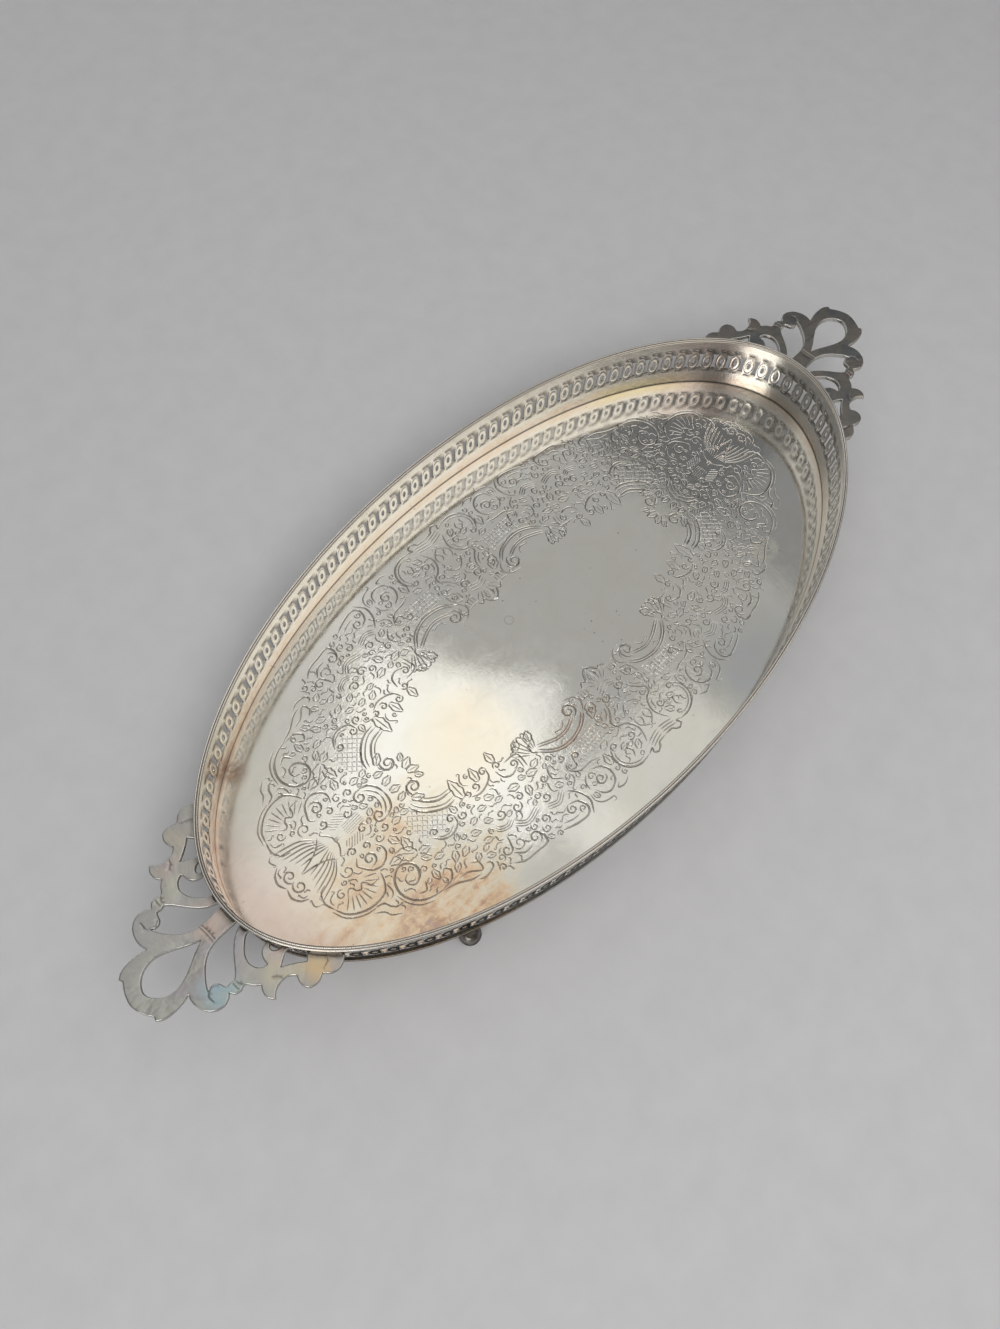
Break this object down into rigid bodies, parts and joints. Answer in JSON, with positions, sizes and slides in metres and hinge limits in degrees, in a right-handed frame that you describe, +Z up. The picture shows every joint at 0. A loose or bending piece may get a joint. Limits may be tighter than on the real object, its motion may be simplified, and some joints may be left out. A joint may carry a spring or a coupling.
{
  "type": "dresser vanity tray",
  "caption": "Oval silver-plated vanity tray with an engraved floor, a pierced upright gallery, openwork scroll handles at the ends and small ball feet.",
  "frame": {"origin": "centre of the tray's footprint, on the surface that it stands on", "axes": "+X along the long axis towards one handle, +Y across the tray, +Z up"},
  "size_m": [0.498, 0.2016, 0.0466],
  "materials": {
    "engraved_silver": "polished silver plate with chased scroll ornament, copper-brown tarnish at one end",
    "gallery_silver": "satin-polished silver plate, pinkish tarnish low on the wall",
    "wire_silver": "worn bright silver plate",
    "handle_silver": "cast silver plate with lilac, blue and straw tarnish",
    "foot_silver": "dull tarnished silver plate"
  },
  "bodies": {
    "root": {"tray_plate": "engraved_silver", "gallery_strip_front": "gallery_silver", "gallery_strip_rear": "gallery_silver", "rim_wire": "wire_silver", "base_wire": "wire_silver", "handle_left": "handle_silver", "handle_right": "handle_silver", "foot_front_left": "foot_silver", "foot_front_right": "foot_silver", "foot_rear_left": "foot_silver", "foot_rear_right": "foot_silver"}
  },
  "joints": []
}
